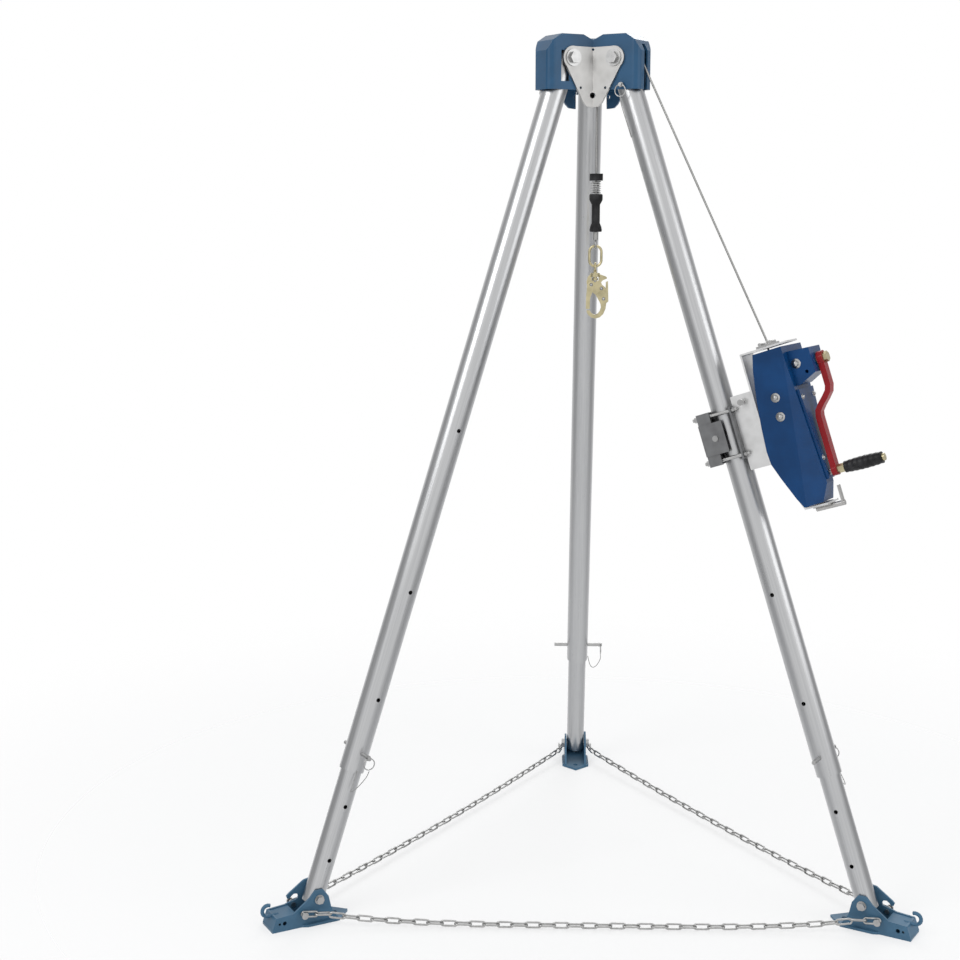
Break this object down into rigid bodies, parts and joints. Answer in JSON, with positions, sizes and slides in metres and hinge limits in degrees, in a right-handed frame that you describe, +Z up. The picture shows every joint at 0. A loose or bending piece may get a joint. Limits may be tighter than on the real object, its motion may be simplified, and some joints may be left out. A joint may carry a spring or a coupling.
{
  "type": "rescue tripod",
  "caption": "Folding rescue tripod with telescopic aluminium legs, blue head and feet, floor chains, and a leg-mounted hand winch with wire rope and snap hook",
  "frame": {"origin": "on the floor under the middle of the outline's box", "axes": "+Z up, +X to the picture's right, +Y away from the camera; the rear leg points along +Y"},
  "size_m": [1.4778, 1.2962, 1.985],
  "materials": {
    "blue_paint": "satin",
    "winch_blue": "gloss",
    "red_paint": "gloss",
    "tube_aluminium": "satin, drawn along the tube",
    "zinc_plate": "bright zinc",
    "steel": "plated",
    "chain_zinc": "dull zinc",
    "rope_steel": "stranded wire",
    "rubber": "matt",
    "grip_plastic": "matt",
    "gold_plate": "pale gold zinc",
    "sheave_metal": "machined"
  },
  "bodies": {
    "head": {"head_casing": "blue_paint", "front_plate": "zinc_plate", "side_plates": "blue_paint", "pivot_bolts": "steel", "sheave_axle": "steel", "rope_over": "rope_steel", "rope_hang": "rope_steel"},
    "outer_sheave": {"outer_sheave": "sheave_metal"},
    "inner_sheave": {"inner_sheave": "sheave_metal"},
    "head_pin_rear": {"head_pin_rear": "steel"},
    "head_pin_left": {"head_pin_left": "steel"},
    "head_pin_right": {"head_pin_right": "steel"},
    "upper_leg_rear": {"upper_tube_rear": "tube_aluminium", "lanyard_rear": "rope_steel"},
    "upper_leg_left": {"upper_tube_left": "tube_aluminium", "lanyard_left": "rope_steel"},
    "upper_leg_right": {"upper_tube_right": "tube_aluminium", "lanyard_right": "rope_steel", "rope_run": "rope_steel", "leg_clamp": "steel", "clamp_rods": "steel", "mount_bracket": "zinc_plate", "winch_frame": "zinc_plate", "winch_housing": "winch_blue", "winch_cover": "winch_blue", "crank_boss": "winch_blue", "rope_guide": "steel", "stow_clip": "zinc_plate", "drum_shaft": "steel"},
    "lower_leg_rear": {"lower_tube_rear": "tube_aluminium"},
    "lower_leg_left": {"lower_tube_left": "tube_aluminium"},
    "lower_leg_right": {"lower_tube_right": "tube_aluminium"},
    "foot_rear": {"foot_rear": "blue_paint", "foot_bolts_rear": "steel", "chain_rear": "chain_zinc"},
    "foot_left": {"foot_left": "blue_paint", "foot_bolts_left": "steel", "chain_left": "chain_zinc"},
    "foot_right": {"foot_right": "blue_paint", "foot_bolts_right": "steel", "chain_right": "chain_zinc"},
    "leg_pin_rear": {"leg_pin_rear": "steel"},
    "leg_pin_left": {"leg_pin_left": "steel"},
    "leg_pin_right": {"leg_pin_right": "steel"},
    "crank": {"crank_shaft": "steel", "crank_arm": "red_paint", "crank_fittings": "gold_plate"},
    "grip": {"grip": "grip_plastic"},
    "drum": {"drum": "steel", "drum_gear": "steel", "rope_winding": "rope_steel"},
    "hook_block": {"block_collar": "rubber", "block_spring": "steel", "block_bumper": "rubber", "rope_eye": "rope_steel", "hook_link": "gold_plate"},
    "hook": {"hook_body": "gold_plate"},
    "gate": {"hook_gate": "gold_plate"}
  },
  "joints": [
    {"name": "fold_right", "type": "hinge", "parent": "head", "child": "upper_leg_right", "pos_m": [0.06582, -0.23773, 1.93296], "axis": [0.5, 0.866, 0], "range_deg": [0, 17], "deforming": ["chain_right"]},
    {"name": "fold_rear", "type": "hinge", "parent": "head", "child": "upper_leg_rear", "pos_m": [0, -0.12373, 1.93296], "axis": [-1, 0, 0], "range_deg": [0, 17], "deforming": ["chain_rear"]},
    {"name": "fold_left", "type": "hinge", "parent": "head", "child": "upper_leg_left", "pos_m": [-0.06582, -0.23773, 1.93296], "axis": [0.5, -0.866, 0], "range_deg": [0, 17], "deforming": ["chain_left"]},
    {"name": "leg_slide_rear", "type": "slide", "parent": "upper_leg_rear", "child": "lower_leg_rear", "axis": [0, 0.3256, -0.9455], "range_m": [-0.254, 0.508], "deforming": ["chain_rear"]},
    {"name": "foot_tilt_rear", "type": "hinge", "parent": "lower_leg_rear", "child": "foot_rear", "pos_m": [0, 0.52187, 0.058], "axis": [-1, 0, 0], "range_deg": [-15, 15], "deforming": ["chain_rear"]},
    {"name": "leg_pin_rear", "type": "slide", "parent": "upper_leg_rear", "child": "leg_pin_rear", "axis": [1, 0, 0], "range_m": [0, 0.1]},
    {"name": "head_pin_rear", "type": "slide", "parent": "head", "child": "head_pin_rear", "axis": [1, 0, 0], "range_m": [0, 0.012]},
    {"name": "leg_slide_left", "type": "slide", "parent": "upper_leg_left", "child": "lower_leg_left", "axis": [-0.2819, -0.1628, -0.9455], "range_m": [-0.254, 0.508], "deforming": ["chain_left"]},
    {"name": "foot_tilt_left", "type": "hinge", "parent": "lower_leg_left", "child": "foot_left", "pos_m": [-0.62492, -0.56053, 0.058], "axis": [0.5, -0.866, 0], "range_deg": [-15, 15], "deforming": ["chain_left"]},
    {"name": "leg_pin_left", "type": "slide", "parent": "upper_leg_left", "child": "leg_pin_left", "axis": [0.5, -0.866, 0], "range_m": [0, 0.1]},
    {"name": "head_pin_left", "type": "slide", "parent": "head", "child": "head_pin_left", "axis": [-0.5, 0.866, 0], "range_m": [0, 0.012]},
    {"name": "leg_slide_right", "type": "slide", "parent": "upper_leg_right", "child": "lower_leg_right", "axis": [0.2819, -0.1628, -0.9455], "range_m": [-0.254, 0.508], "deforming": ["chain_right"]},
    {"name": "foot_tilt_right", "type": "hinge", "parent": "lower_leg_right", "child": "foot_right", "pos_m": [0.62492, -0.56053, 0.058], "axis": [0.5, 0.866, 0], "range_deg": [-15, 15], "deforming": ["chain_right"]},
    {"name": "leg_pin_right", "type": "slide", "parent": "upper_leg_right", "child": "leg_pin_right", "axis": [0.5, 0.866, 0], "range_m": [0, 0.1]},
    {"name": "head_pin_right", "type": "slide", "parent": "head", "child": "head_pin_right", "axis": [-0.5, -0.866, 0], "range_m": [0, 0.012]},
    {"name": "crank_turn", "type": "hinge", "parent": "upper_leg_right", "child": "crank", "pos_m": [0.46588, -0.46871, 1.26708], "axis": [0.8188, -0.4728, 0.3256], "range_deg": [-720, 4680]},
    {"name": "drum_turn", "type": "hinge", "parent": "upper_leg_right", "child": "drum", "pos_m": [0.42492, -0.44505, 1.18945], "axis": [0.8188, -0.4728, 0.3256], "range_deg": [-1230, 200]},
    {"name": "hook_lift", "type": "slide", "parent": "head", "child": "hook_block", "axis": [0, 0, -1], "range_m": [-0.16, 1], "deforming": ["rope_hang"]},
    {"name": "outer_sheave_turn", "type": "hinge", "parent": "head", "child": "outer_sheave", "pos_m": [0.06582, -0.23773, 1.93296], "axis": [0.5, 0.866, 0], "range_deg": [-1400, 1400]},
    {"name": "inner_sheave_turn", "type": "hinge", "parent": "head", "child": "inner_sheave", "pos_m": [0.02425, -0.21373, 1.88696], "axis": [0.5, 0.866, 0], "range_deg": [-4100, 4100]},
    {"name": "grip_spin", "type": "hinge", "parent": "crank", "child": "grip", "pos_m": [0.58517, -0.53757, 1.05751], "axis": [0.8188, -0.4728, 0.3256], "continuous": true},
    {"name": "hook_swivel", "type": "hinge", "parent": "hook_block", "child": "hook", "pos_m": [0.01212, -0.20673, 1.4445], "axis": [0, 0, 1], "continuous": true},
    {"name": "gate_open", "type": "hinge", "parent": "hook", "child": "gate", "pos_m": [0.00312, -0.20673, 1.422], "axis": [0, -1, 0], "range_deg": [0, 20], "stiffness_Nm_per_rad": 0.15}
  ],
  "couplings": [
    {"joint": "fold_rear", "follows": "fold_right", "ratio": 1},
    {"joint": "fold_left", "follows": "fold_right", "ratio": 1},
    {"joint": "drum_turn", "follows": "crank_turn", "ratio": -0.26087},
    {"joint": "hook_lift", "follows": "crank_turn", "m_per_rad": 0.010565},
    {"joint": "outer_sheave_turn", "follows": "crank_turn", "ratio": -0.25155},
    {"joint": "inner_sheave_turn", "follows": "crank_turn", "ratio": -0.75466}
  ]
}
